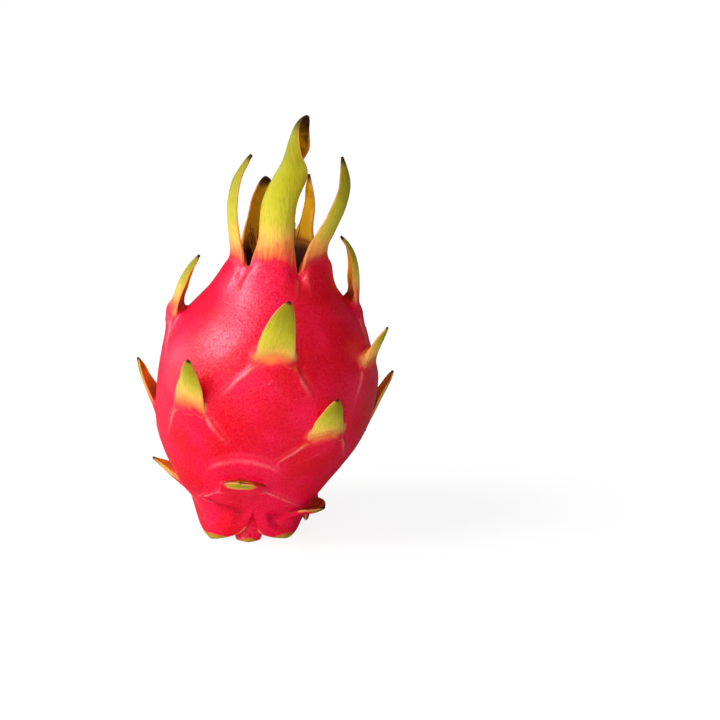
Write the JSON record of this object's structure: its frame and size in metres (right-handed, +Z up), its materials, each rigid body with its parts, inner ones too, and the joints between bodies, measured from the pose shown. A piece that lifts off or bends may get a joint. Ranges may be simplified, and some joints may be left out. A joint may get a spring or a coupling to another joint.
{
  "type": "dragon fruit",
  "caption": "Whole ripe dragon fruit, pink, with green-tipped bracts, standing on its stem end.",
  "frame": {"origin": "centre of the small flat stem scar that the fruit stands on", "axes": "+Z up, from the stem end to the crown of bracts; -Y is the side that the picture shows"},
  "size_m": [0.1055, 0.1099, 0.1752],
  "materials": {
    "skin": "satin",
    "dried_petals": "matte"
  },
  "bodies": {
    "root": {"fruit": "skin", "dried_flower": "dried_petals"}
  },
  "joints": []
}
